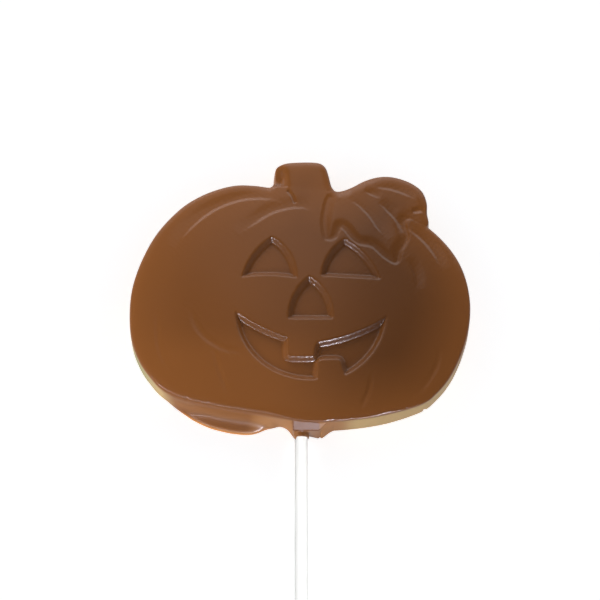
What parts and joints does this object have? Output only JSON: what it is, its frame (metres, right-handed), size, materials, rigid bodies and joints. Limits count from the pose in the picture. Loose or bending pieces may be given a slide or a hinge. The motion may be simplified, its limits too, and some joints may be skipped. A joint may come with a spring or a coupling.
{
  "type": "pumpkin lollipop",
  "caption": "Flat-backed moulded milk chocolate jack-o'-lantern with a stem, a leaf and a sunk smiling face, on a straight rolled paper stick.",
  "frame": {"origin": "in the plane of the flat back, in the middle of the pumpkin, on the line of the stick", "axes": "+X across the pumpkin to the side of the leaf, +Y from the stick's free end to the pumpkin's stem, +Z out of the face"},
  "size_m": [0.0959, 0.1644, 0.0077],
  "materials": {
    "milk_chocolate": "tempered milk chocolate with a soft gloss",
    "rolled_paper": "tightly rolled white paper, matte"
  },
  "bodies": {
    "root": {"chocolate": "milk_chocolate", "stick": "rolled_paper"}
  },
  "joints": []
}
